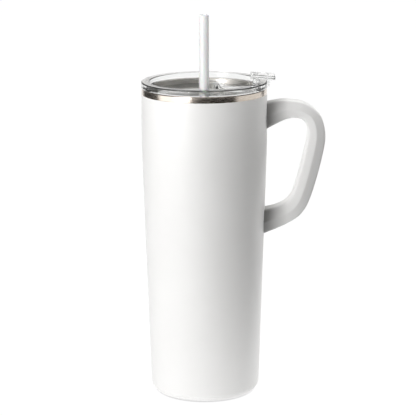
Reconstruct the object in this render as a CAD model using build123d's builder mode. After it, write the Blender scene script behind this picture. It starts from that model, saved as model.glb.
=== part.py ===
from build123d import *
import os
from math import atan, cos, degrees, radians, tan

# Insulated tumbler with a clear lid, a straw and a side handle, in millimetres.
# Origin: centre of the foot ring, on the surface that the tumbler stands on. +Z up, +X towards the handle.

# --- Outer wall ---
wall = 0.8
top_radius = 48.0
foot_line_radius = 41.86      # where the tapered side would meet the ground
taper_top = 192.9             # the side is a straight cylinder above this height
coat_top = 235.2              # the coat stops here, below the bare mouth band
mouth_top = 240.1
corner_radius = 7.4
foot_inner_radius = 31.5
coat_step = 0.15              # the bare band lies this much inside the coat

# --- Inner cup and the vacuum between the walls ---
liner_wall = 0.5
mouth_radius = 44.0
floor_height = 10.0
liner_corner = 9.0
wall_gap = top_radius - mouth_radius
lip_radius = 1.0
foil_thickness = 0.25
foil_gap = 0.4
foil_low = 24.0
foil_high = 226.0

# --- Base cap ---
cap_height = 1.8
cap_clear = 0.3
dimple_radius = 8.0
dimple_rise = 2.6
vacuum_hole_radius = 1.2
seal_radius = 3.4
seal_dome = 1.3
getter_radius = 5.0
getter_height = 2.0
getter_offset = 18.0

# --- Handle and its fixings ---
handle_width = 16.0
handle_edge = 5.9
shell_fit = 0.05
bracket_width = 9.0
bracket_height = 8.0
bracket_reach = 59.5
bracket_bottoms = {"upper_bracket": 217.2, "lower_bracket": 135.2}
socket_clear = 0.25
screw_x = 54.5
screw_radius = 1.5
screw_length = 9.0
head_radius = 2.7
head_height = 1.6
hex_radius = 1.4
bore_radius = 3.1
bore_clear = 0.15
web = 1.4                     # handle material between a screw's head and its bracket

# --- Lid ---
seat_gap = 0.15
lid_top_height = 244.7
flange_radius = 48.15
rim_inner_radius = 41.6
deck_top = 236.2
deck_thickness = 2.2
deck_radius = 41.2
plug_radius = 43.0
plug_inner_radius = 39.8
plug_bottom = 228.6
groove_radius = 41.7
groove_low = 230.6
groove_high = 233.7
gasket_clear = 0.1
gasket_body_radius = 43.2
gasket_rib_radius = 43.88
vent_x = -28.0
vent_radius = 0.8

# --- Straw and grommet ---
straw_radius = 3.75
straw_wall = 0.7
straw_top = 295.0
straw_floor_gap = 0.5
straw_hole_radius = 4.6
grommet_bore_radius = 3.82
grommet_top_radius = 5.4
grommet_low_radius = 6.4
grommet_lip = 1.0

# --- Flip tab, its hinge and its seal ---
hinge_x = 9.5
hinge_z = 240.4
pin_radius = 1.0
pin_clear = 0.06
barrel_radius = 3.0
barrel_half_width = 4.3
lug_inner = 4.6
lug_outer = 8.0
lug_back = 3.6
lug_top = 243.7
lug_front = 14.2
arm_gap = 0.3
arm_top = 239.3
arm_half_width = 7.4
leg_inner_x = 36.9
leg_outer_x = 39.9
arch_x = 44.3
arch_z = 243.5
arch_radius = 4.4
hook_thickness = 1.2
hook_low = 241.4
plate_half_width = 8.1
plate_back_x = 35.1
plate_tip_x = 54.0
plate_back_z = 250.6
plate_tip_z = 249.3
plate_thickness = 3.4
plate_corner = 3.0
soft_edge = 0.5
sip_x = 32.0
sip_length = 8.4
sip_width = 13.4
sip_seal_gap = 0.7
sip_seal_depth = 3.0
sip_seal_taper = 6.0

# --- Values worked out from those above ---
taper = (top_radius - foot_line_radius) / taper_top
taper_angle = degrees(atan(taper))
slope = cos(radians(taper_angle))


def side_radius(height):
    """Outer radius of the tumbler at a height above its rounded corner."""
    return min(top_radius, foot_line_radius + taper * height)


def corner_centre(radius, height, inset):
    """Centre radius of a corner arc that is tangent to the tapered side moved in by inset."""
    return side_radius(height) - inset / slope - radius / slope


def side_outline(low, inset):
    """Points up the tapered side, moved in by inset, from a low height to where the taper ends."""
    return [(side_radius(low) - inset / slope, low), (top_radius - inset, taper_top)]


def arc_point(centre_radius, centre_height, radius):
    """Where a corner arc leaves the tapered side."""
    return (centre_radius + radius * slope, centre_height - radius * taper * slope)


def arc_middle(centre_radius, centre_height, radius):
    """A point half way round a corner arc, between straight down and the tapered side."""
    angle = radians((-90 - taper_angle) / 2)
    return (centre_radius + radius * cos(angle), centre_height + radius * tan(angle) * cos(angle))


os.makedirs("parts", exist_ok=True)

# ---------------------------------------------------------------------------------------------
# Outer shell: one steel wall, tapered below and straight above, rolled in to a flat foot ring.
# ---------------------------------------------------------------------------------------------
corner_r = corner_centre(corner_radius, corner_radius, 0)
inner_corner = corner_radius - wall

with BuildPart() as outer_shell:
    with BuildSketch(Plane.XZ):
        with BuildLine():
            foot = Line((foot_inner_radius, 0), (corner_r, 0))
            ThreePointArc(foot @ 1, arc_middle(corner_r, corner_radius, corner_radius),
                          arc_point(corner_r, corner_radius, corner_radius))
            Polyline(arc_point(corner_r, corner_radius, corner_radius), (top_radius, taper_top),
                     (top_radius, coat_top), (top_radius - wall, coat_top),
                     (top_radius - wall, taper_top), arc_point(corner_r, corner_radius, inner_corner))
            ThreePointArc(arc_point(corner_r, corner_radius, inner_corner),
                          arc_middle(corner_r, corner_radius, inner_corner), (corner_r, wall))
            Polyline((corner_r, wall), (foot_inner_radius, wall), foot @ 0)
        make_face()
    revolve(axis=Axis.Z)
outer_shell.part.label = "outer_shell"

# ---------------------------------------------------------------------------------------------
# Inner liner: the cup that holds the drink, its mouth rolled out and down to form the bare band.
# ---------------------------------------------------------------------------------------------
band_radius = top_radius - coat_step
band_inner_radius = top_radius - wall
band_wall = band_radius - band_inner_radius
liner_r = corner_centre(liner_corner, floor_height + liner_corner, wall_gap)
liner_out = liner_corner + liner_wall
liner_mid = floor_height + liner_corner

with BuildPart() as inner_liner:
    with BuildSketch(Plane.XZ):
        with BuildLine():
            Line((0, floor_height), (liner_r, floor_height))
            ThreePointArc((liner_r, floor_height), arc_middle(liner_r, liner_mid, liner_corner),
                          arc_point(liner_r, liner_mid, liner_corner))
            Polyline(arc_point(liner_r, liner_mid, liner_corner), (mouth_radius, taper_top),
                     (mouth_radius, mouth_top - lip_radius))
            RadiusArc((mouth_radius, mouth_top - lip_radius), (mouth_radius + lip_radius, mouth_top),
                      lip_radius)
            Line((mouth_radius + lip_radius, mouth_top), (band_radius - lip_radius, mouth_top))
            RadiusArc((band_radius - lip_radius, mouth_top), (band_radius, mouth_top - lip_radius),
                      lip_radius)
            Polyline((band_radius, mouth_top - lip_radius), (band_radius, coat_top),
                     (band_inner_radius, coat_top), (band_inner_radius, mouth_top - lip_radius),
                     (band_inner_radius - band_wall, mouth_top - band_wall),
                     (mouth_radius + lip_radius, mouth_top - band_wall),
                     (mouth_radius + liner_wall, mouth_top - lip_radius),
                     (mouth_radius + liner_wall, taper_top),
                     arc_point(liner_r, liner_mid, liner_out))
            ThreePointArc(arc_point(liner_r, liner_mid, liner_out), arc_middle(liner_r, liner_mid, liner_out),
                          (liner_r, floor_height - liner_wall))
            Polyline((liner_r, floor_height - liner_wall), (0, floor_height - liner_wall), (0, floor_height))
        make_face()
    revolve(axis=Axis.Z)
inner_liner.part.label = "inner_liner"

# ---------------------------------------------------------------------------------------------
# Heat-shield foil: a thin sleeve round the liner, inside the vacuum.
# ---------------------------------------------------------------------------------------------
foil_inner = wall_gap - liner_wall - foil_gap
foil_outer = foil_inner - foil_thickness

with BuildPart() as heat_shield_foil:
    with BuildSketch(Plane.XZ):
        with BuildLine():
            inner_side = side_outline(foil_low, foil_inner)
            outer_side = side_outline(foil_low, foil_outer)
            Polyline(*inner_side, (top_radius - foil_inner, foil_high),
                     (top_radius - foil_outer, foil_high), *reversed(outer_side), close=True)
        make_face()
    revolve(axis=Axis.Z)
heat_shield_foil.part.label = "heat_shield_foil"

# ---------------------------------------------------------------------------------------------
# Base cap: pressed disc inside the foot ring, with a rim and a dimple for the evacuation hole.
# ---------------------------------------------------------------------------------------------
cap_top = cap_height + wall
dimple_low = cap_height + dimple_rise

with BuildPart() as base_cap:
    with BuildSketch(Plane.XZ) as cap_profile:
        with BuildLine():
            Polyline((foot_inner_radius, cap_clear), (foot_inner_radius, cap_top),
                     (dimple_radius, cap_top), (dimple_radius - dimple_rise, dimple_low + wall),
                     (vacuum_hole_radius, dimple_low + wall), (vacuum_hole_radius, dimple_low),
                     (dimple_radius - dimple_rise - wall / 2, dimple_low),
                     (dimple_radius - wall / 2, cap_height),
                     (foot_inner_radius - wall, cap_height), (foot_inner_radius - wall, cap_clear),
                     close=True)
        make_face()
    revolve(axis=Axis.Z)
base_cap.part.label = "base_cap"

# Vacuum seal: a domed pellet that closes the hole from below, inside the dimple.
seal_sphere = (seal_radius ** 2 + seal_dome ** 2) / (2 * seal_dome)

with BuildPart() as vacuum_seal:
    with BuildSketch(Plane.XZ):
        with BuildLine():
            Line((0, dimple_low), (seal_radius, dimple_low))
            RadiusArc((seal_radius, dimple_low), (0, dimple_low - seal_dome), seal_sphere)
            Line((0, dimple_low - seal_dome), (0, dimple_low))
        make_face()
    revolve(axis=Axis.Z)
vacuum_seal.part.label = "vacuum_seal"

# Getter: a capsule that keeps the vacuum clean, fixed under the liner's floor.
with BuildPart() as getter:
    with BuildSketch(Plane.XY.offset(floor_height - liner_wall - getter_height)):
        with Locations((getter_offset, 0)):
            Circle(getter_radius)
    extrude(amount=getter_height)
    fillet(getter.faces().sort_by(Axis.Z)[0].edges(), radius=getter_height / 4)
getter.part.label = "getter"

# ---------------------------------------------------------------------------------------------
# Handle: a closed grip with rounded edges, cut to the side of the shell, with a socket at each end.
# ---------------------------------------------------------------------------------------------
root_x = 42.0
outer_points = [(root_x, 227.2), (52.0, 229.4), (63.0, 230.5), (77.0, 227.9), (88.6, 218.2), (92.6, 203.5),
                (90.6, 187.0), (83.2, 158.7), (75.6, 142.3), (63.5, 133.3), (root_x, 124.0)]
inner_points = [(root_x, 204.8), (52.5, 210.9), (63.5, 215.9), (71.6, 216.3), (76.9, 213.0), (78.7, 204.5),
                (76.2, 189.5), (69.4, 162.9), (64.6, 153.4), (56.0, 147.8), (root_x, 144.4)]

with BuildPart() as shell_cutter:
    with BuildSketch(Plane.XZ):
        with BuildLine():
            Polyline((0, 0), (foot_line_radius + shell_fit, 0), (top_radius + shell_fit, taper_top),
                     (top_radius + shell_fit, mouth_top), (0, mouth_top), close=True)
        make_face()
    revolve(axis=Axis.Z)

with BuildPart() as handle:
    with BuildSketch(Plane.XZ):
        with BuildLine():
            outer_edge = Spline(*outer_points)
            inner_edge = Spline(*inner_points)
            Line(outer_edge @ 0, inner_edge @ 0)
            Line(outer_edge @ 1, inner_edge @ 1)
        make_face()
    extrude(amount=handle_width / 2, both=True)
    side_faces = handle.faces().sort_by(Axis.Y)
    long_edges = (side_faces[0].edges() + side_faces[-1].edges()).filter_by(
        lambda edge: edge.length > handle_width * 4)
    fillet(long_edges, radius=handle_edge)
    add(shell_cutter.part, mode=Mode.SUBTRACT)
    for bottom in bracket_bottoms.values():
        with BuildSketch(Plane.XY.offset(bottom - socket_clear)):
            with Locations((root_x, 0)):
                Rectangle(bracket_reach + socket_clear - root_x, bracket_width + 2 * socket_clear,
                          align=(Align.MIN, Align.CENTER))
        extrude(amount=bracket_height + 2 * socket_clear, mode=Mode.SUBTRACT)
        with BuildSketch(Plane.XY.offset(bottom)):
            with Locations((screw_x, 0)):
                Circle(screw_radius + bore_clear)
        extrude(amount=-(web + 1), mode=Mode.SUBTRACT)
        with BuildSketch(Plane.XY.offset(bottom - socket_clear - web)):
            with Locations((screw_x, 0)):
                Circle(bore_radius)
        extrude(amount=-handle_width / 2, mode=Mode.SUBTRACT)
handle.part.label = "handle"

# Brackets: one steel lug for each end of the handle, welded on the shell, tapped from below.
brackets = []
for name, bottom in bracket_bottoms.items():
    with BuildPart() as bracket:
        with BuildSketch(Plane.XY.offset(bottom)) as bracket_plan:
            with Locations((root_x, 0)):
                Rectangle(bracket_reach - root_x, bracket_width, align=(Align.MIN, Align.CENTER))
            fillet(bracket_plan.vertices().group_by(Axis.X)[-1], radius=bracket_width / 4)
        extrude(amount=bracket_height)
        with BuildSketch(Plane.XY.offset(bottom)):
            with Locations((screw_x, 0)):
                Circle(screw_radius)
        extrude(amount=screw_length - web, mode=Mode.SUBTRACT)
        add(shell_cutter.part, mode=Mode.SUBTRACT)
    bracket.part.label = name
    brackets.append(bracket.part)

# Handle screws: two alike, driven up from the underside of each arm.
with BuildPart() as handle_screws:
    for bottom in bracket_bottoms.values():
        head_top = bottom - socket_clear - web
        with BuildSketch(Plane.XY.offset(head_top)):
            with Locations((screw_x, 0)):
                Circle(screw_radius)
        extrude(amount=screw_length - web)
        with BuildSketch(Plane.XY.offset(head_top - head_height)):
            with Locations((screw_x, 0)):
                Circle(head_radius)
        extrude(amount=head_height)
        with BuildSketch(Plane.XY.offset(head_top - head_height)):
            with Locations((screw_x, 0)):
                RegularPolygon(hex_radius, 6)
        extrude(amount=head_height / 2, mode=Mode.SUBTRACT)
handle_screws.part.label = "handle_screws"

# Screw plugs: pressed into the bores under the screws, cut off along the handle's own underside.
with BuildPart() as handle_envelope:
    with BuildSketch(Plane.XZ):
        with BuildLine():
            envelope_outer = Spline(*outer_points)
            envelope_inner = Spline(*inner_points)
            Line(envelope_outer @ 0, envelope_inner @ 0)
            Line(envelope_outer @ 1, envelope_inner @ 1)
        make_face()
    extrude(amount=handle_width / 2, both=True)

with BuildPart() as screw_plugs:
    for bottom in bracket_bottoms.values():
        with BuildSketch(Plane.XY.offset(bottom - socket_clear - web - head_height - bore_clear)):
            with Locations((screw_x, 0)):
                Circle(bore_radius)
        extrude(amount=-handle_width / 2)
    add(handle_envelope.part, mode=Mode.INTERSECT)
screw_plugs.part.label = "screw_plugs"

# ---------------------------------------------------------------------------------------------
# Lid: clear disc with a thick rim on the mouth, a recessed deck, and a plug with a gasket groove.
# ---------------------------------------------------------------------------------------------
flange_bottom = mouth_top + seat_gap
deck_bottom = deck_top - deck_thickness

with BuildPart() as lid_top:
    with BuildSketch(Plane.XZ) as lid_profile:
        with BuildLine():
            Polyline((straw_hole_radius, deck_top), (deck_radius, deck_top),
                     (rim_inner_radius, lid_top_height), (flange_radius, lid_top_height),
                     (flange_radius, flange_bottom), (plug_radius, flange_bottom),
                     (plug_radius, groove_high), (groove_radius, groove_high),
                     (groove_radius, groove_low), (plug_radius, groove_low),
                     (plug_radius, plug_bottom), (plug_inner_radius, plug_bottom),
                     (plug_inner_radius, deck_bottom), (straw_hole_radius, deck_bottom), close=True)
        make_face()
        corners = lid_profile.vertices()
        fillet(corners.group_by(Axis.Y)[-1], radius=0.8)
        fillet(corners.filter_by(lambda v: abs(v.X - deck_radius) < 0.01), radius=1.0)
        fillet(corners.group_by(Axis.Y)[0], radius=0.6)
    revolve(axis=Axis.Z)
    for side in (-1, 1):
        with BuildSketch(Plane.XZ.offset(-side * (lug_inner + lug_outer) / 2)) as lug_side:
            with BuildLine():
                Polyline((lug_back, deck_top - 1), (lug_back, lug_top), (hinge_x - 0.6, lug_top),
                         (hinge_x + barrel_radius, hinge_z), (lug_front, deck_top - 1), close=True)
            make_face()
            fillet(lug_side.vertices().group_by(Axis.Y)[-1], radius=1.2)
        extrude(amount=(lug_outer - lug_inner) / 2, both=True)
    lug_sides = lid_top.edges().filter_by(
        lambda e: min(abs(abs(e.center().Y) - lug_outer), abs(abs(e.center().Y) - lug_inner)) < 0.01)
    lug_sides = lug_sides.filter_by(lambda e: lug_back - 1 < e.center().X < lug_front + 1)
    fillet(lug_sides.filter_by(lambda e: e.center().Z > deck_top + 0.3), radius=soft_edge)
    with BuildSketch(Plane.XZ):
        with Locations((hinge_x, hinge_z)):
            Circle(pin_radius)
    extrude(amount=lug_outer - 0.6, both=True, mode=Mode.SUBTRACT)
    with BuildSketch(Plane.XY.offset(deck_top + 1)) as deck_holes:
        with Locations((sip_x, 0)):
            RectangleRounded(sip_length, sip_width, sip_length * 0.45)
        with Locations((vent_x, 0)):
            Circle(vent_radius)
    extrude(amount=-(deck_thickness + 2), mode=Mode.SUBTRACT)
lid_top.part.label = "lid_top"

# Lid gasket: silicone ring in the plug's groove, with two ribs that seal on the liner.
gasket_inner = groove_radius + gasket_clear
gasket_low = groove_low + 1.5 * gasket_clear
gasket_high = groove_high - 1.5 * gasket_clear
rib = (gasket_high - gasket_low) / 5

with BuildPart() as lid_gasket:
    with BuildSketch(Plane.XZ):
        with BuildLine():
            Polyline((gasket_inner, gasket_low), (gasket_body_radius, gasket_low),
                     (gasket_rib_radius, gasket_low + rib), (gasket_body_radius, gasket_low + 2 * rib),
                     (gasket_body_radius, gasket_high - 2 * rib), (gasket_rib_radius, gasket_high - rib),
                     (gasket_body_radius, gasket_high), (gasket_inner, gasket_high), close=True)
        make_face()
    revolve(axis=Axis.Z)
lid_gasket.part.label = "lid_gasket"

# Straw grommet: silicone ring with a lip above and below the deck.
with BuildPart() as straw_grommet:
    with BuildSketch(Plane.XZ) as grommet_profile:
        with BuildLine():
            Polyline((grommet_bore_radius, deck_bottom - grommet_lip),
                     (grommet_low_radius, deck_bottom - grommet_lip), (grommet_low_radius, deck_bottom),
                     (straw_hole_radius, deck_bottom), (straw_hole_radius, deck_top),
                     (grommet_top_radius, deck_top), (grommet_top_radius, deck_top + grommet_lip),
                     (grommet_bore_radius, deck_top + grommet_lip), close=True)
        make_face()
        fillet(grommet_profile.vertices().group_by(Axis.Y)[-1], radius=0.4)
    revolve(axis=Axis.Z)
straw_grommet.part.label = "straw_grommet"

# Straw: a straight tube from just above the liner's floor, with rounded ends.
with BuildPart() as straw:
    with BuildSketch(Plane.XY.offset(floor_height + straw_floor_gap)):
        Circle(straw_radius)
        Circle(straw_radius - straw_wall, mode=Mode.SUBTRACT)
    extrude(amount=straw_top - floor_height - straw_floor_gap)
    fillet(straw.edges().group_by(Axis.Z)[-1] + straw.edges().group_by(Axis.Z)[0], radius=straw_wall * 0.4)
straw.part.label = "straw"

# Hinge pin: steel, held in the lid's two lugs.
with BuildPart() as hinge_pin:
    with BuildSketch(Plane.XZ):
        with Locations((hinge_x, hinge_z)):
            Circle(pin_radius)
    extrude(amount=lug_outer - 0.6, both=True)
hinge_pin.part.label = "hinge_pin"

# ---------------------------------------------------------------------------------------------
# Flip tab: hinge barrel, flat arm on the deck, a leg up inside the rim, an arch over the rim that
# ends in a hook outside it, and a thumb plate on top.
# ---------------------------------------------------------------------------------------------
arm_bottom = deck_top + arm_gap
hook_outer_x = arch_x + arch_radius + hook_thickness
hook_inner_x = arch_x + arch_radius
hook_top_x = hook_outer_x - 1.3
plate_drop = (plate_back_z - plate_tip_z) / (plate_tip_x - plate_back_x)


def plate_top(x):
    """Height of the thumb plate's top face, which falls gently towards its tip."""
    return plate_back_z - plate_drop * (x - plate_back_x)


with BuildPart() as thumb_plate:
    with BuildSketch(Plane.XZ):
        with BuildLine():
            Polyline((plate_back_x, plate_top(plate_back_x)), (plate_tip_x, plate_top(plate_tip_x)),
                     (plate_tip_x, plate_top(plate_tip_x) - plate_thickness),
                     (plate_back_x, plate_top(plate_back_x) - plate_thickness), close=True)
        make_face()
    extrude(amount=plate_half_width, both=True)
    fillet(thumb_plate.edges().filter_by(Axis.Z).group_by(Axis.X)[-1], radius=plate_corner)
    fillet(thumb_plate.edges().filter_by(Axis.Z).group_by(Axis.X)[0], radius=plate_corner / 2)
    fillet(thumb_plate.faces().sort_by(Axis.Z)[-1].edges(), radius=soft_edge * 1.6)
    fillet(thumb_plate.faces().sort_by(Axis.Z)[0].edges(), radius=soft_edge)

with BuildPart() as flip_tab:
    with BuildSketch(Plane.XZ) as arm_profile:
        with BuildLine():
            Polyline((hinge_x, arm_bottom), (leg_outer_x, arm_bottom), (leg_outer_x, arch_z))
            ThreePointArc((leg_outer_x, arch_z), (arch_x, arch_z + arch_radius), (hook_inner_x, arch_z))
            Polyline((hook_inner_x, arch_z), (hook_inner_x, hook_low), (hook_outer_x, hook_low),
                     (hook_outer_x, arch_z))
            ThreePointArc((hook_outer_x, arch_z), (hook_outer_x - 0.4, arch_z + 2.0),
                          (hook_top_x, plate_top(hook_top_x) - plate_thickness))
            Polyline((hook_top_x, plate_top(hook_top_x) - plate_thickness),
                     (hook_top_x, plate_top(hook_top_x) - plate_thickness / 2),
                     (leg_inner_x, plate_top(leg_inner_x) - plate_thickness / 2),
                     (leg_inner_x, arm_top), (hinge_x + 7.1, arm_top),
                     (hinge_x + 1.6, hinge_z + barrel_radius - 0.6), (hinge_x, hinge_z),
                     (hinge_x, arm_bottom))
        make_face()
    extrude(amount=arm_half_width, both=True)
    rim_side = flip_tab.edges().filter_by(lambda e: abs(abs(e.center().Y) - arm_half_width) < 0.01)
    fillet(rim_side.filter_by(GeomType.CIRCLE).group_by(SortBy.LENGTH)[-1], radius=soft_edge)
    leg_edges = flip_tab.edges().filter_by(lambda e: abs(e.center().X - leg_inner_x) < 0.01)
    fillet(leg_edges.filter_by(Axis.Z), radius=soft_edge)
    with BuildSketch(Plane.XY.offset(arm_bottom - 1)):
        with Locations((hinge_x - 4, 0)):
            Rectangle(lug_front - hinge_x + 4.8, lug_outer * 2.2, align=(Align.MIN, Align.CENTER))
            Rectangle(lug_front - hinge_x + 4.8, barrel_half_width * 2, align=(Align.MIN, Align.CENTER),
                      mode=Mode.SUBTRACT)
    extrude(amount=lug_top - arm_bottom + 2, mode=Mode.SUBTRACT)
    with BuildSketch(Plane.XZ):
        with Locations((hinge_x, hinge_z)):
            Circle(barrel_radius)
    extrude(amount=barrel_half_width, both=True)
    with BuildSketch(Plane.XZ):
        with Locations((hinge_x, hinge_z)):
            Circle(pin_radius + pin_clear)
    extrude(amount=lug_outer, both=True, mode=Mode.SUBTRACT)
    add(thumb_plate.part)
flip_tab.part.label = "flip_tab"

# Spout seal: tapered silicone plug fixed under the arm, inside the drinking hole.
with BuildPart() as spout_seal:
    with BuildSketch(Plane.XY.offset(arm_bottom)):
        with Locations((sip_x, 0)):
            RectangleRounded(sip_length - 2 * sip_seal_gap, sip_width - 2 * sip_seal_gap, sip_length * 0.35)
    extrude(amount=-sip_seal_depth, taper=sip_seal_taper)
spout_seal.part.label = "spout_seal"

for piece in (outer_shell, inner_liner, heat_shield_foil, base_cap, vacuum_seal, getter, handle,
              handle_screws, screw_plugs, lid_top, lid_gasket, straw_grommet, straw, hinge_pin,
              flip_tab, spout_seal):
    export_step(piece.part, f"parts/{piece.part.label}.step")
for lug in brackets:
    export_step(lug, f"parts/{lug.label}.step")
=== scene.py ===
import bpy
import math
from mathutils import Matrix, Vector


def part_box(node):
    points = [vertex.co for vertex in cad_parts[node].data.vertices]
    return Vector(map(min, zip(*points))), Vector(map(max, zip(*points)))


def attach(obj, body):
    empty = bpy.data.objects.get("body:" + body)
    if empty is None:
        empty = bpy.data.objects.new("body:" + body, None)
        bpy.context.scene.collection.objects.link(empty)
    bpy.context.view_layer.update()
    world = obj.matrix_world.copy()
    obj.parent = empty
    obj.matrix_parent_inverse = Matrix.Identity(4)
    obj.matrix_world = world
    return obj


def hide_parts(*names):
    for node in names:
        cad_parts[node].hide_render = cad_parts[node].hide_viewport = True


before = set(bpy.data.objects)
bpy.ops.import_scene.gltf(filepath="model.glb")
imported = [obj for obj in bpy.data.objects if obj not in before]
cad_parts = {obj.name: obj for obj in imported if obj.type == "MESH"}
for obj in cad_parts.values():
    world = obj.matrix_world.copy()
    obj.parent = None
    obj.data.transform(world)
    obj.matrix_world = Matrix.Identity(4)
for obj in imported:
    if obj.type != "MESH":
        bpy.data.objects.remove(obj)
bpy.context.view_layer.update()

MM = 0.001

# ---------------------------------------------------------------------------------------------
# Sizes read from the frame, and the few that its boxes don't hold
# ---------------------------------------------------------------------------------------------
_, shell_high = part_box("outer_shell")
liner_low, liner_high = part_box("inner_liner")

TOP_RADIUS = shell_high.x
COAT_TOP = shell_high.z
BAND_RADIUS = liner_high.x
MOUTH_TOP = liner_high.z
FOOT_LINE_RADIUS = 41.86 * MM     # where the tapered side would meet the ground
TAPER_TOP = 192.9 * MM            # the side is straight above this height
CORNER_RADIUS = 7.4 * MM
FOOT_INNER_RADIUS = 31.5 * MM
SHELL_WALL = 0.8 * MM
MOUTH_RADIUS = 44.0 * MM
LINER_WALL = 0.5 * MM
LINER_CORNER = 9.0 * MM
LINER_FLOOR = liner_low.z + LINER_WALL
EDGE_ROUND = 0.3 * MM
SHOULDER_RADIUS = 400 * MM        # the wide arc between the tapered and the straight side
TAPER = (TOP_RADIUS - FOOT_LINE_RADIUS) / TAPER_TOP


def side_radius(z):
    """Outer radius of the tumbler's side at height z."""
    return min(TOP_RADIUS, FOOT_LINE_RADIUS + TAPER * z)


# ---------------------------------------------------------------------------------------------
# Mesh tools
# ---------------------------------------------------------------------------------------------
def rounded(points, steps=8):
    """Corner points (a, b) or (a, b, radius) as a closed outline whose corners are arcs of that radius."""
    outline = []
    count = len(points)
    for i, point in enumerate(points):
        here = Vector(point[:2])
        radius = point[2] if len(point) > 2 else 0
        if radius <= 0:
            outline.append(tuple(here))
            continue
        before = (Vector(points[i - 1][:2]) - here).normalized()
        after = (Vector(points[(i + 1) % count][:2]) - here).normalized()
        half = before.angle(after) / 2
        centre = here + (before + after).normalized() * radius / math.sin(half)
        start = here + before * radius / math.tan(half) - centre
        end = here + after * radius / math.tan(half) - centre
        turn = math.atan2(start.x * end.y - start.y * end.x, start.dot(end))
        for k in range(steps + 1):
            angle = turn * k / steps
            spoke = Vector((start.x * math.cos(angle) - start.y * math.sin(angle),
                            start.x * math.sin(angle) + start.y * math.cos(angle)))
            outline.append(tuple(centre + spoke))
    return outline


def make_mesh(name, verts, faces, sharp_degrees=35):
    """A smooth-shaded object that keeps edges sharper than sharp_degrees."""
    mesh = bpy.data.meshes.new(name)
    mesh.from_pydata([tuple(v) for v in verts], [], faces)
    mesh.validate()
    mesh.update()
    mesh.shade_smooth()
    mesh.set_sharp_from_angle(angle=math.radians(sharp_degrees))
    piece = bpy.data.objects.new(name, mesh)
    bpy.context.scene.collection.objects.link(piece)
    return piece


ON_AXIS = 1e-7


def lathe(name, outline, segments=256):
    """A closed outline of (radius, height) points turned round the Z axis. Points on the axis become one."""
    verts = []
    rings = []
    for radius, height in outline:
        if radius < ON_AXIS:
            rings.append([len(verts)] * segments)
            verts.append((0, 0, height))
            continue
        rings.append(range(len(verts), len(verts) + segments))
        for k in range(segments):
            angle = 2 * math.pi * k / segments
            verts.append((radius * math.cos(angle), radius * math.sin(angle), height))
    faces = []
    for i, ring in enumerate(rings):
        nxt = rings[(i + 1) % len(rings)]
        if ring[0] == ring[1] and nxt[0] == nxt[1]:
            continue
        for k in range(segments):
            m = (k + 1) % segments
            corners = [ring[k], ring[m], nxt[m], nxt[k]]
            faces.append([c for j, c in enumerate(corners) if c not in corners[:j]])
    return make_mesh(name, verts, faces)


def smooth_line(points, steps):
    """A Catmull-Rom line through the points, with the same number of steps between each two."""
    first = tuple(2 * a - b for a, b in zip(points[0], points[1]))
    last = tuple(2 * a - b for a, b in zip(points[-1], points[-2]))
    padded = [first, *points, last]
    line = []
    for i in range(1, len(padded) - 2):
        p0, p1, p2, p3 = padded[i - 1:i + 3]
        for k in range(steps):
            t = k / steps
            line.append(tuple(
                0.5 * (2 * b + (c - a) * t + (2 * a - 5 * b + 4 * c - d) * t * t
                       + (3 * b - a - 3 * c + d) * t ** 3)
                for a, b, c, d in zip(p0, p1, p2, p3)))
    line.append(tuple(points[-1]))
    return line


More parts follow.
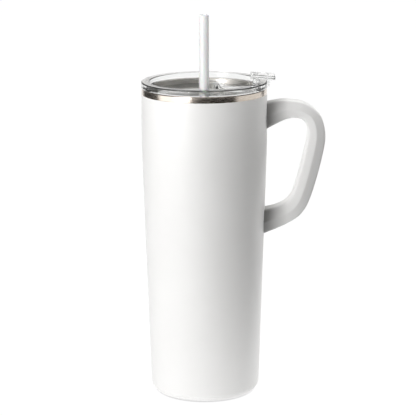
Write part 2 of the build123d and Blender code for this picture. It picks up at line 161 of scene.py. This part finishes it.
# ---------------------------------------------------------------------------------------------
# Materials
# ---------------------------------------------------------------------------------------------
class Maker:
    """Builds one node material round a Principled shader."""

    def __init__(self, name, **sockets):
        self.material = bpy.data.materials.new(name)
        self.material.use_nodes = True
        self.nodes = self.material.node_tree.nodes
        self.links = self.material.node_tree.links
        self.shader = self.nodes["Principled BSDF"]
        for key, value in sockets.items():
            self.shader.inputs[key.replace("_", " ")].default_value = value
        self.place = self.nodes.new("ShaderNodeTexCoord").outputs["Object"]

    def stretch(self, scale):
        """The object's own coordinates, scaled along X, Y and Z."""
        node = self.nodes.new("ShaderNodeMapping")
        node.inputs["Scale"].default_value = scale
        self.links.new(self.place, node.inputs["Vector"])
        return node.outputs["Vector"]

    def from_axis(self):
        """Distance from the Z axis."""
        node = self.nodes.new("ShaderNodeVectorMath")
        node.operation = "LENGTH"
        self.links.new(self.stretch((1, 1, 0)), node.inputs[0])
        return node.outputs["Value"]

    def around(self, turns, radius, height):
        """Coordinates round the Z axis: angle, distance from the axis and height, each scaled."""
        split = self.nodes.new("ShaderNodeSeparateXYZ")
        self.links.new(self.place, split.inputs[0])
        angle = self.math("ARCTAN2", split.outputs["Y"], split.outputs["X"])
        join = self.nodes.new("ShaderNodeCombineXYZ")
        self.links.new(self.math("MULTIPLY", angle, turns), join.inputs[0])
        self.links.new(self.math("MULTIPLY", self.from_axis(), radius), join.inputs[1])
        self.links.new(self.math("MULTIPLY", split.outputs["Z"], height), join.inputs[2])
        return join.outputs[0]

    def math(self, operation, a, b):
        node = self.nodes.new("ShaderNodeMath")
        node.operation = operation
        for socket, value in zip(node.inputs, (a, b)):
            if isinstance(value, (int, float)):
                socket.default_value = value
            else:
                self.links.new(value, socket)
        return node.outputs[0]

    def noise(self, vector, scale, detail=3.0):
        node = self.nodes.new("ShaderNodeTexNoise")
        node.inputs["Scale"].default_value = scale
        node.inputs["Detail"].default_value = detail
        node.inputs["Roughness"].default_value = 0.55
        self.links.new(vector, node.inputs["Vector"])
        return node.outputs["Fac"]

    def ramp(self, value, low, high, low_at=0.3, high_at=0.7):
        """A number turned into a colour between low and high."""
        node = self.nodes.new("ShaderNodeValToRGB")
        node.color_ramp.elements[0].position = low_at
        node.color_ramp.elements[1].position = high_at
        node.color_ramp.elements[0].color = (*low, 1)
        node.color_ramp.elements[1].color = (*high, 1)
        self.links.new(value, node.inputs["Fac"])
        return node.outputs["Color"]

    def spread(self, value, low, high, low_at=0.3, high_at=0.7):
        """A number moved into the range low to high."""
        node = self.nodes.new("ShaderNodeMapRange")
        node.inputs["From Min"].default_value = low_at
        node.inputs["From Max"].default_value = high_at
        node.inputs["To Min"].default_value = low
        node.inputs["To Max"].default_value = high
        self.links.new(value, node.inputs["Value"])
        return node.outputs["Result"]

    def dimmed(self, colour, share):
        """A colour scaled by a number."""
        node = self.nodes.new("ShaderNodeVectorMath")
        node.operation = "SCALE"
        self.links.new(colour, node.inputs[0])
        self.links.new(share, node.inputs["Scale"])
        return node.outputs["Vector"]

    def bump(self, height, depth):
        """Relief of depth metres."""
        node = self.nodes.new("ShaderNodeBump")
        node.inputs["Strength"].default_value = 1.0
        node.inputs["Distance"].default_value = depth
        self.links.new(height, node.inputs["Height"])
        return node.outputs["Normal"]

    def set(self, socket, output):
        self.links.new(output, self.shader.inputs[socket])

    def clear_shadows(self, tint):
        """Lets lamps shine straight through, so that what lies behind a clear material is lit."""
        through = self.nodes.new("ShaderNodeBsdfTransparent")
        through.inputs["Color"].default_value = (tint, tint, tint, 1)
        mix = self.nodes.new("ShaderNodeMixShader")
        self.links.new(self.nodes.new("ShaderNodeLightPath").outputs["Is Shadow Ray"], mix.inputs["Fac"])
        self.links.new(self.shader.outputs["BSDF"], mix.inputs[1])
        self.links.new(through.outputs["BSDF"], mix.inputs[2])
        self.links.new(mix.outputs["Shader"], self.nodes["Material Output"].inputs["Surface"])


def powder_coat():
    """Satin white powder coat: fine orange peel, faint cloudiness and slightly uneven sheen."""
    m = Maker("satin_white_coat", Specular_IOR_Level=0.45)
    peel = m.noise(m.place, 900, 2.0)
    cloud = m.noise(m.place, 22, 4.0)
    m.set("Base Color", m.ramp(cloud, (0.885, 0.88, 0.868), (0.91, 0.906, 0.896)))
    m.set("Roughness", m.spread(m.noise(m.place, 260, 3.0), 0.36, 0.46))
    m.set("Normal", m.bump(peel, 0.012 * MM))
    return m.material


ROOT_START = 47 * MM              # painted shade at the handle's roots: the colour darkens towards the body, by distance from the axis
ROOT_END = 64 * MM
ROOT_PAINTED_SHADE = 0.42


def moulded_white():
    """White moulding of the handle: spark-eroded matt texture, faint cloudiness, and painted shade darkening
    the colour at the roots.
    """
    m = Maker("moulded_white", Specular_IOR_Level=0.45)
    cloud = m.ramp(m.noise(m.place, 30, 4.0), (0.875, 0.87, 0.858), (0.90, 0.896, 0.886))
    # painted shade: the colour is dimmed near the shell, where the handle's roots are
    shade = m.spread(m.from_axis(), ROOT_PAINTED_SHADE, 1.0, ROOT_START, ROOT_END)
    m.set("Base Color", m.dimmed(cloud, shade))
    m.set("Roughness", m.spread(m.noise(m.place, 420, 2.0), 0.34, 0.44))
    m.set("Normal", m.bump(m.noise(m.place, 1500, 2.0), 0.010 * MM))
    return m.material


def turned_steel(name, low, high, rough, turns=14.0, stretched=0.0):
    """Bare stainless steel, brushed round the axis, so that its highlights spread up and down."""
    m = Maker(name, Metallic=1.0, Anisotropic=stretched)
    m.shader.inputs["Anisotropic Rotation"].default_value = 0.25
    tangent = m.nodes.new("ShaderNodeTangent")
    tangent.direction_type = "RADIAL"
    tangent.axis = "Z"
    m.links.new(tangent.outputs["Tangent"], m.shader.inputs["Tangent"])
    lines = m.noise(m.around(turns, 9000, 9000), 1.0, 2.0)
    patches = m.noise(m.place, 45, 3.0)
    m.set("Base Color", m.ramp(patches, low, high))
    m.set("Roughness", m.spread(lines, rough * 0.8, rough * 1.25))
    m.set("Normal", m.bump(lines, 0.004 * MM))
    return m.material


def plain_metal(name, low, high, rough):
    """Cold-formed metal with a faint grain."""
    m = Maker(name, Metallic=1.0)
    grain = m.noise(m.stretch((1, 1, 6)), 700, 3.0)
    m.set("Base Color", m.ramp(grain, low, high))
    m.set("Roughness", m.spread(grain, rough * 0.8, rough * 1.3))
    m.set("Normal", m.bump(grain, 0.006 * MM))
    return m.material


LAMP_SHARE = 0.9                  # how much of a lamp's light goes straight through the clear plastic


def clear_plastic(name, clearness):
    """Clear polished plastic with faint moulding waves and hairline wear. Less clearness makes it hazy."""
    m = Maker(name, Transmission_Weight=clearness, IOR=1.55)
    wear = m.noise(m.stretch((1, 7, 3)), 420, 4.0)
    m.set("Base Color", m.ramp(m.noise(m.place, 30, 2.0), (0.97, 0.975, 0.972), (0.985, 0.988, 0.985)))
    m.set("Roughness", m.spread(wear, 0.0, 0.03, 0.5, 0.8))
    m.set("Normal", m.bump(m.noise(m.place, 70, 2.0), 0.02 * MM))
    m.clear_shadows(LAMP_SHARE)
    return m.material


def silicone(name, low, high, clearness):
    """Silicone with a soft bloom."""
    m = Maker(name, Transmission_Weight=clearness, IOR=1.41)
    cloud = m.noise(m.place, 140, 3.0)
    m.set("Base Color", m.ramp(cloud, low, high))
    m.set("Roughness", m.spread(cloud, 0.38, 0.55))
    m.set("Normal", m.bump(m.noise(m.place, 1300, 2.0), 0.008 * MM))
    return m.material


def straw_plastic():
    """Extruded white plastic with faint draw lines along its length."""
    m = Maker("straw_white", Specular_IOR_Level=0.5, Subsurface_Weight=0.12)
    m.shader.inputs["Subsurface Scale"].default_value = 1.5 * MM
    lines = m.noise(m.around(5.0, 0, 4), 2.2, 3.0)
    m.set("Base Color", m.ramp(lines, (0.90, 0.898, 0.89), (0.93, 0.928, 0.92)))
    m.set("Roughness", m.spread(lines, 0.26, 0.36))
    m.set("Normal", m.bump(lines, 0.006 * MM))
    return m.material


def dark_pellet():
    """Fused sealing pellet: grey, slightly glassy."""
    m = Maker("sealing_pellet")
    grain = m.noise(m.place, 900, 4.0)
    m.set("Base Color", m.ramp(grain, (0.07, 0.075, 0.08), (0.16, 0.165, 0.17)))
    m.set("Roughness", m.spread(grain, 0.2, 0.4))
    m.set("Normal", m.bump(grain, 0.05 * MM))
    return m.material


coat = powder_coat()
handle_white = moulded_white()
warm_steel = turned_steel("warm_brushed_steel", (0.70, 0.63, 0.56), (0.76, 0.69, 0.62), 0.24, stretched=0.35)
liner_steel = turned_steel("liner_steel", (0.80, 0.77, 0.73), (0.88, 0.85, 0.81), 0.42, 3.0, 0.5)
base_steel = turned_steel("base_steel", (0.60, 0.58, 0.55), (0.68, 0.66, 0.63), 0.3)
bracket_steel = plain_metal("bracket_steel", (0.50, 0.50, 0.51), (0.62, 0.62, 0.63), 0.3)
getter_metal = plain_metal("getter_metal", (0.40, 0.40, 0.41), (0.55, 0.55, 0.56), 0.5)
copper = plain_metal("copper_foil", (0.80, 0.42, 0.28), (0.88, 0.52, 0.38), 0.2)
clear = clear_plastic("clear_plastic", 1.0)
hazy = clear_plastic("hazy_plastic", 0.88)
milky = silicone("milky_silicone", (0.86, 0.865, 0.86), (0.93, 0.93, 0.925), 0.45)
grey_silicone = silicone("grey_silicone", (0.22, 0.215, 0.21), (0.30, 0.295, 0.29), 0.6)
straw_white = straw_plastic()
pellet = dark_pellet()

CAD_MATERIALS = {
    "outer_shell": coat, "inner_liner": warm_steel, "base_cap": base_steel, "vacuum_seal": pellet,
    "getter": getter_metal, "heat_shield_foil": copper, "upper_bracket": bracket_steel,
    "lower_bracket": bracket_steel, "handle": handle_white, "handle_screws": bracket_steel,
    "screw_plugs": handle_white, "lid_top": clear, "lid_gasket": grey_silicone, "straw_grommet": milky,
    "hinge_pin": bracket_steel, "flip_tab": hazy, "spout_seal": milky, "straw": straw_white,
}
for node, material in CAD_MATERIALS.items():
    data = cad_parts[node].data
    data.materials.clear()
    data.materials.append(material)


def dress(piece, material, body, slot, *nodes):
    """Gives a piece its material and its body, and hides the CAD nodes that it stands for. The slot is not
    used.
    """
    piece.data.materials.append(material)
    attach(piece, body)
    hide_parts(*nodes)
    return piece


# ---------------------------------------------------------------------------------------------
# Outer shell: tapered side, rolled foot, and a soft edge where the coat ends at the band
# ---------------------------------------------------------------------------------------------
COAT_EDGE_ROUND = 0.12 * MM


def shell_outline():
    """Section of the coated wall, from the foot's inner edge up to the band and back inside."""
    return rounded([
        (FOOT_INNER_RADIUS, 0, EDGE_ROUND),
        (FOOT_LINE_RADIUS, 0, CORNER_RADIUS),
        (TOP_RADIUS, TAPER_TOP, SHOULDER_RADIUS),
        (TOP_RADIUS, COAT_TOP, COAT_EDGE_ROUND),
        (TOP_RADIUS - SHELL_WALL, COAT_TOP),
        (TOP_RADIUS - SHELL_WALL, TAPER_TOP),
        (FOOT_LINE_RADIUS - SHELL_WALL, SHELL_WALL, CORNER_RADIUS - SHELL_WALL),
        (FOOT_INNER_RADIUS, SHELL_WALL, EDGE_ROUND)], steps=12)


dress(lathe("shell_coat", shell_outline()), coat, "tumbler", "shell_coat", "outer_shell")

# ---------------------------------------------------------------------------------------------
# Liner: cup, rolled mouth and bare band
# ---------------------------------------------------------------------------------------------
MOUTH_INNER_ROUND = 1.0 * MM
MOUTH_OUTER_ROUND = 0.9 * MM
BAND_LOW_ROUND = 0.15 * MM
LIP_GAP_ROUND = 0.4 * MM


def liner_outline():
    """Section of the cup and the band: up inside the cup, over the mouth, down the band and back outside."""
    gap = TOP_RADIUS - MOUTH_RADIUS
    floor_radius = side_radius(LINER_FLOOR) - gap
    band_in = TOP_RADIUS - SHELL_WALL
    band_wall = BAND_RADIUS - band_in
    return rounded([
        (0, LINER_FLOOR),
        (floor_radius, LINER_FLOOR, LINER_CORNER),
        (MOUTH_RADIUS, TAPER_TOP, SHOULDER_RADIUS),
        (MOUTH_RADIUS, MOUTH_TOP, MOUTH_INNER_ROUND),
        (BAND_RADIUS, MOUTH_TOP, MOUTH_OUTER_ROUND),
        (BAND_RADIUS, COAT_TOP, BAND_LOW_ROUND),
        (band_in, COAT_TOP),
        (band_in, MOUTH_TOP - band_wall, EDGE_ROUND),
        (MOUTH_RADIUS + LINER_WALL, MOUTH_TOP - band_wall, LIP_GAP_ROUND),
        (MOUTH_RADIUS + LINER_WALL, TAPER_TOP),
        (floor_radius + LINER_WALL, LINER_FLOOR - LINER_WALL, LINER_CORNER),
        (0, LINER_FLOOR - LINER_WALL)], steps=10)


liner = dress(lathe("liner_and_band", liner_outline()), warm_steel, "tumbler", "bare_steel", "inner_liner")
liner.data.materials.append(liner_steel)
for polygon in liner.data.polygons:
    if polygon.center.xy.length < MOUTH_RADIUS + EDGE_ROUND:
        polygon.material_index = 1

# ---------------------------------------------------------------------------------------------
# Handle: a section with a soft ridge, carried between the outer and the inner edge of the D. The edges
# are (x, z) points in millimetres, paired along the grip, and the section's sizes are in millimetres too.
# ---------------------------------------------------------------------------------------------
OUTER_EDGE = [(42.0, 227.2), (52.0, 229.4), (63.0, 230.5), (77.0, 227.9), (88.6, 218.2), (92.6, 203.5),
              (90.6, 187.0), (83.2, 158.7), (75.6, 142.3), (63.5, 133.3), (42.0, 124.0)]
INNER_EDGE = [(42.0, 204.8), (52.5, 210.9), (63.5, 215.9), (71.6, 216.3), (76.9, 213.0), (78.7, 204.5),
              (76.2, 189.5), (69.4, 162.9), (64.6, 153.4), (56.0, 147.8), (42.0, 144.4)]
EDGE_STEPS = 14                   # rings of the mesh between two points of an edge
GRIP_THICKNESS = 14.2
RIDGE_AT = 7.2
RIDGE_HALF = 8.06
INNER_HALF = 6.8
OUTER_HALF = 4.9
RIDGE_ROUND = 2.4
INNER_ROUND = 2.6
OUTER_ROUND = 3.2
ROOT_DEPTH = 0.4 * MM             # the roots end half-way into the shell wall


def handle_section():
    """Half and mirrored half of the grip's section: distance from the inner edge as a share, and width."""
    half = [(0, INNER_HALF, INNER_ROUND), (RIDGE_AT, RIDGE_HALF, RIDGE_ROUND),
            (GRIP_THICKNESS, OUTER_HALF, OUTER_ROUND)]
    other = [(u, -w, r) for u, w, r in reversed(half)]
    return [(u / GRIP_THICKNESS, w * MM) for u, w in rounded(half + other, steps=10)]


def handle_piece():
    """The grip, with every point that would lie deeper in the shell than ROOT_DEPTH moved out to there."""
    section = handle_section()
    outer = smooth_line(OUTER_EDGE, EDGE_STEPS)
    inner = smooth_line(INNER_EDGE, EDGE_STEPS)
    verts = []
    for (ox, oz), (ix, iz) in zip(outer, inner):
        for share, width in section:
            x = (ix + (ox - ix) * share) * MM
            z = (iz + (oz - iz) * share) * MM
            reach = math.hypot(x, width)
            stop = side_radius(z) - ROOT_DEPTH
            if reach < stop:
                x *= stop / reach
                width *= stop / reach
            verts.append((x, width, z))
    ring = len(section)
    last = (len(outer) - 1) * ring
    faces = []
    for start in range(0, last, ring):
        for k in range(ring):
            m = (k + 1) % ring
            faces.append([start + k, start + m, start + ring + m, start + ring + k])
    faces.append(list(range(ring))[::-1])
    faces.append(list(range(last, last + ring)))
    return make_mesh("handle_grip", verts, faces, 60)


dress(handle_piece(), handle_white, "tumbler", "handle_plastic", "handle")

# ---------------------------------------------------------------------------------------------
# Stage: a glowing pale floor, soft light, dark and pale cards that the camera doesn't see
# ---------------------------------------------------------------------------------------------
FLOOR_REACH = 9.0
FLOOR_DROP = 0.02 * MM            # keeps the floor off the foot
CONTACT_SHADOW_START = 31 * MM             # the foot's painted contact shadow on the floor fades out between these distances from the axis
CONTACT_SHADOW_END = 39.5 * MM
CONTACT_SHADOW_GLOW = 0.05

floor = make_mesh("floor", [(-FLOOR_REACH, -FLOOR_REACH, 0), (FLOOR_REACH, -FLOOR_REACH, 0),
                            (FLOOR_REACH, FLOOR_REACH, 0), (-FLOOR_REACH, FLOOR_REACH, 0)], [[0, 1, 2, 3]])
floor.location.z = -FLOOR_DROP
floor_paint = Maker("pale_floor", Specular_IOR_Level=0.0, Roughness=0.9)
floor_paint.set("Base Color", floor_paint.ramp(floor_paint.noise(floor_paint.place, 3, 2.0),
                                               (0.02, 0.02, 0.02), (0.03, 0.03, 0.03)))
floor_paint.shader.inputs["Emission Color"].default_value = (1, 1, 1, 1)
# painted contact shadow: the floor glows less under the foot
floor_paint.set("Emission Strength",
                floor_paint.spread(floor_paint.from_axis(), CONTACT_SHADOW_GLOW, 1.0, CONTACT_SHADOW_START, CONTACT_SHADOW_END))
floor.data.materials.append(floor_paint.material)


def card(name, start, end, near, far, low, high, colour, strength):
    """A card round the object from azimuth start to end, in degrees: 0 is towards the camera, - is left.

    Its low edge is at distance near and its high edge at distance far. A card with a strength glows, and
    shows in glossy and clear surfaces only. The others are dark flags that also keep light off.
    """
    steps = 24
    verts = []
    for k in range(steps + 1):
        angle = math.radians(start + (end - start) * k / steps)
        for distance, z in ((near, low), (far, high)):
            verts.append((distance * math.sin(angle), -distance * math.cos(angle), z))
    faces = [[2 * k, 2 * k + 2, 2 * k + 3, 2 * k + 1] for k in range(steps)]
    piece = make_mesh(name, verts, faces)
    base = (0, 0, 0) if strength else colour
    paint = Maker(name, Base_Color=(*base, 1), Roughness=1.0, Specular_IOR_Level=0.0)
    paint.shader.inputs["Emission Color"].default_value = (*colour, 1)
    paint.shader.inputs["Emission Strength"].default_value = strength
    piece.data.materials.append(paint.material)
    piece.visible_camera = False
    piece.visible_diffuse = not strength
    return piece


BLACK = (0.03, 0.03, 0.03)
DARK_GREY = (0.05, 0.05, 0.05)
CARD_DISTANCE = 0.7
FLAG_DISTANCE = 0.36
FLOOR_FLAG_END = 1.2
FLOOR_FLAG_HEIGHT = 1.0 * MM
card("front_flag", -24, 56, FLAG_DISTANCE, FLAG_DISTANCE, 0.0, 0.26, (0.03, 0.027, 0.025), 0.0)
card("left_floor_flag", -110, 0, 0.34, FLOOR_FLAG_END, FLOOR_FLAG_HEIGHT, FLOOR_FLAG_HEIGHT, BLACK, 0.0)
card("right_floor_flag", 0, 110, 0.24, FLOOR_FLAG_END, FLOOR_FLAG_HEIGHT, FLOOR_FLAG_HEIGHT, BLACK, 0.0)
card("left_softbox", -88, -24, CARD_DISTANCE, CARD_DISTANCE, 0.0, 0.22, (1.0, 0.995, 0.985), 1.7)
card("right_softbox", 60, 118, CARD_DISTANCE, CARD_DISTANCE, 0.0, 0.22, (1.0, 0.985, 0.96), 0.9)
card("right_strip", 126, 138, CARD_DISTANCE, CARD_DISTANCE, 0.0, 0.6, DARK_GREY, 0.0)
card("left_strip", -145, -90, CARD_DISTANCE, CARD_DISTANCE, 0.0, 0.34, DARK_GREY, 0.0)


CENTRE = Vector((0, 0, 0.16))
LIGHT_DISTANCE = 1.15


def softbox(name, azimuth, elevation, width, height, power):
    """A rectangular light that faces CENTRE from an azimuth and an elevation, in degrees.

    The lights behind the object don't show in glossy surfaces.
    """
    light = bpy.data.lights.new(name, "AREA")
    light.shape = "RECTANGLE"
    light.size = width
    light.size_y = height
    light.energy = power
    lamp = bpy.data.objects.new(name, light)
    bpy.context.scene.collection.objects.link(lamp)
    a = math.radians(azimuth)
    e = math.radians(elevation)
    away = Vector((math.sin(a) * math.cos(e), -math.cos(a) * math.cos(e), math.sin(e)))
    lamp.location = CENTRE + away * LIGHT_DISTANCE
    lamp.rotation_euler = away.to_track_quat("Z", "Y").to_euler()
    lamp.visible_camera = False
    lamp.visible_transmission = False
    lamp.visible_glossy = azimuth < 90


softbox("key_light", -38, 14, 0.45, 0.6, 11.6)
softbox("right_light", 98, 12, 0.5, 0.6, 2.2)
softbox("rear_light", 140, 55, 0.5, 0.6, 9.0)

# The studio round the stage: a bright sweep to just above the horizon, dark walls, and a pale ceiling.
# Each stop is a height on a unit sphere and the strength there.
SKY_BANDS = [(0.0, 0.97), (0.18, 0.97), (0.205, 0.02), (0.66, 0.02), (0.82, 0.6)]
world = bpy.data.worlds.new("studio")
bpy.context.scene.world = world
world.use_nodes = True
sky = world.node_tree
split = sky.nodes.new("ShaderNodeSeparateXYZ")
sky.links.new(sky.nodes.new("ShaderNodeTexCoord").outputs["Generated"], split.inputs[0])
bands = sky.nodes.new("ShaderNodeValToRGB")
sky.links.new(split.outputs["Z"], bands.inputs["Fac"])
for _ in SKY_BANDS[2:]:
    bands.color_ramp.elements.new(0.5)
for element, (height, strength) in zip(bands.color_ramp.elements, SKY_BANDS):
    element.position = height
    element.color = (strength, strength, strength, 1)
sky.links.new(bands.outputs["Color"], sky.nodes["Background"].inputs["Strength"])
sky.nodes["Background"].inputs["Color"].default_value = (1.0, 0.997, 0.99, 1)

# ---------------------------------------------------------------------------------------------
# Camera
# ---------------------------------------------------------------------------------------------
CAMERA_PLACE = (0, -1.3475, 0.4604)
VIEW_ANGLE = math.radians(13.279)
LOOK_DOWN = math.radians(13.169)
LOOK_RIGHT = math.radians(0.109)
ROLL = math.radians(-0.182)

camera_data = bpy.data.cameras.new("camera")
camera = bpy.data.objects.new("camera", camera_data)
bpy.context.scene.collection.objects.link(camera)
camera_data.sensor_width = 36.0
camera_data.angle = VIEW_ANGLE
camera.matrix_world = (Matrix.Translation(CAMERA_PLACE)
                       @ Matrix.Rotation(-LOOK_RIGHT, 4, "Z")
                       @ Matrix.Rotation(math.pi / 2 - LOOK_DOWN, 4, "X")
                       @ Matrix.Rotation(ROLL, 4, "Z"))
bpy.context.scene.camera = camera
bpy.context.scene.view_settings.view_transform = "Standard"
